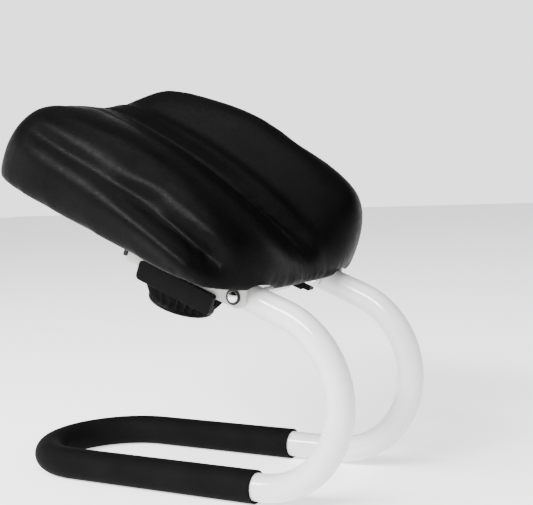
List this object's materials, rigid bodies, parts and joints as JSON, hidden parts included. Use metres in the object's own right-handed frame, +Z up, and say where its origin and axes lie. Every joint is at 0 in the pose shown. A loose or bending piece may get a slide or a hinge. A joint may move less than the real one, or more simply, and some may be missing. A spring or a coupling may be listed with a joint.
{
  "type": "kneeling rocking stool",
  "caption": "Low kneeling stool: a lobed wedge cushion on a tilting steel plate, carried by a bent-tube frame with a foam-sleeved base and a fluted spring tension knob.",
  "frame": {"origin": "on the floor under the middle of the whole object's box", "axes": "+X to the front (knee side, where the frame curves up), +Y to the sitter's left, +Z up"},
  "size_m": [0.3464, 0.24, 0.3249],
  "materials": {
    "white_paint": "gloss white powder coat on steel tube and plate",
    "grey_paint": "satin pale powder coat on pressed steel",
    "foam_rubber": "matte closed-cell foam sleeve",
    "leather": "black satin synthetic leather with a fine grain",
    "black_plastic": "moulded black plastic with a light texture",
    "nylon": "natural nylon bush",
    "rubber": "moulded rubber buffer",
    "chrome": "polished domed bolt head",
    "zinc": "bright zinc-plated fastener",
    "spring_steel": "oiled spring wire",
    "plywood": "birch plywood board",
    "lining": "thin non-woven lining"
  },
  "bodies": {
    "frame": {"frame_tube": "white_paint", "foam_sleeve": "foam_rubber", "tie_bar": "white_paint", "spring_arm": "white_paint", "arm_nut": "zinc", "tension_spring": "spring_steel", "pivot_bolt_right": "chrome", "pivot_bush_right": "nylon", "pivot_washer_right": "zinc", "pivot_nut_right": "zinc", "stop_buffer_right": "rubber", "pivot_bolt_left": "chrome", "pivot_bush_left": "nylon", "pivot_washer_left": "zinc", "pivot_nut_left": "zinc", "stop_buffer_left": "rubber"},
    "seat": {"seat_plate": "grey_paint", "stop_bolt": "zinc", "stop_nut": "zinc", "seat_board": "plywood", "dust_cover": "lining", "seat_cushion": "leather", "side_block_right": "black_plastic", "rear_stud_right": "zinc", "block_screw_right_front": "zinc", "board_screw_right_front": "zinc", "board_nut_right_front": "zinc", "block_screw_right_rear": "zinc", "board_screw_right_rear": "zinc", "board_nut_right_rear": "zinc", "side_block_left": "black_plastic", "rear_stud_left": "zinc", "block_screw_left_front": "zinc", "board_screw_left_front": "zinc", "board_nut_left_front": "zinc", "block_screw_left_rear": "zinc", "board_screw_left_rear": "zinc", "board_nut_left_rear": "zinc"},
    "spring_cup": {"spring_cup": "zinc"},
    "knob": {"tension_knob": "black_plastic", "knob_nut": "zinc", "knob_cap": "black_plastic", "adjuster_spindle": "zinc"}
  },
  "joints": [
    {"name": "seat_tilt", "type": "hinge", "parent": "frame", "child": "seat", "pos_m": [0.08372, 0, 0.16225], "axis": [0, -1, 0], "range_deg": [0, 5], "stiffness_Nm_per_rad": 400, "springref_deg": -2.86, "deforming": ["tension_spring"]},
    {"name": "cup_lift", "type": "slide", "parent": "frame", "child": "spring_cup", "axis": [0.3827, 0, 0.9239], "range_m": [0, 0.00375]},
    {"name": "knob_turn", "type": "hinge", "parent": "spring_cup", "child": "knob", "pos_m": [-0.00036, 0, 0.19708], "axis": [0.3827, 0, 0.9239], "range_deg": [0, 901]}
  ],
  "couplings": [
    {"joint": "knob_turn", "follows": "cup_lift", "rad_per_m": 4188.8}
  ]
}
